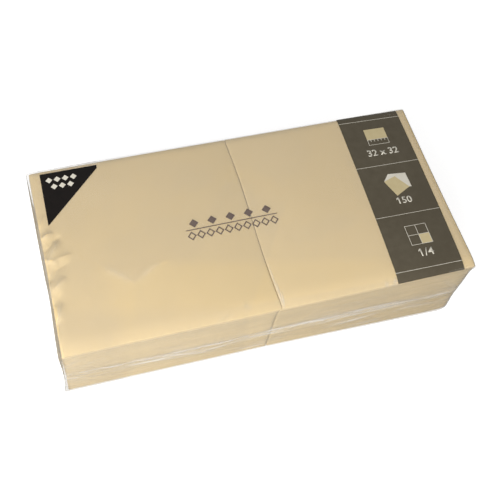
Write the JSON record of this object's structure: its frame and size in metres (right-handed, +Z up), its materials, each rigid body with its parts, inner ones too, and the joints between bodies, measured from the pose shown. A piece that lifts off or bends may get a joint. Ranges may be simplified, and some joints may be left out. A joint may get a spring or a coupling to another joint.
{
  "type": "wrapped pack of paper napkins",
  "caption": "Shrink-wrapped pack of quarter-folded paper napkins in side-by-side stacks, to store, sell and open at a table.",
  "frame": {"origin": "centre of the pack's footprint, on the face it stands on", "axes": "+X along the pack's length, to the end with the printed band; +Z up; -Y the front, with the long weld"},
  "size_m": [0.3286, 0.1636, 0.0701],
  "materials": {
    "tissue": "soft matt two-ply tissue",
    "clear_film": "clear glossy shrink film",
    "taupe_ink": "dark taupe ink on glossy film",
    "black_ink": "black ink on glossy film",
    "title_ink": "brown-grey ink on glossy film",
    "tan_ink": "tan field on glossy film",
    "pale_ink": "pale ink on glossy film"
  },
  "bodies": {
    "root": {"napkins_left_01": "tissue", "napkins_left_02": "tissue", "napkins_left_03": "tissue", "napkins_left_04": "tissue", "napkins_left_05": "tissue", "napkins_left_06": "tissue", "napkins_left_07": "tissue", "napkins_left_08": "tissue", "napkins_left_09": "tissue", "napkins_left_10": "tissue", "napkins_left_11": "tissue", "napkins_left_12": "tissue", "napkins_left_13": "tissue", "napkins_left_14": "tissue", "napkins_left_15": "tissue", "napkins_left_16": "tissue", "napkins_left_17": "tissue", "napkins_left_18": "tissue", "napkins_left_19": "tissue", "napkins_left_20": "tissue", "napkins_left_21": "tissue", "napkins_left_22": "tissue", "napkins_left_23": "tissue", "napkins_left_24": "tissue", "napkins_left_25": "tissue", "napkins_right_01": "tissue", "napkins_right_02": "tissue", "napkins_right_03": "tissue", "napkins_right_04": "tissue", "napkins_right_05": "tissue", "napkins_right_06": "tissue", "napkins_right_07": "tissue", "napkins_right_08": "tissue", "napkins_right_09": "tissue", "napkins_right_10": "tissue", "napkins_right_11": "tissue", "napkins_right_12": "tissue", "napkins_right_13": "tissue", "napkins_right_14": "tissue", "napkins_right_15": "tissue", "napkins_right_16": "tissue", "napkins_right_17": "tissue", "napkins_right_18": "tissue", "napkins_right_19": "tissue", "napkins_right_20": "tissue", "napkins_right_21": "tissue", "napkins_right_22": "tissue", "napkins_right_23": "tissue", "napkins_right_24": "tissue", "napkins_right_25": "tissue", "film_wrap": "clear_film", "printed_band": "taupe_ink", "printed_band_fields": "tan_ink", "printed_band_lines": "pale_ink", "printed_corner": "black_ink", "printed_corner_marks": "pale_ink", "printed_title": "title_ink"}
  },
  "joints": []
}
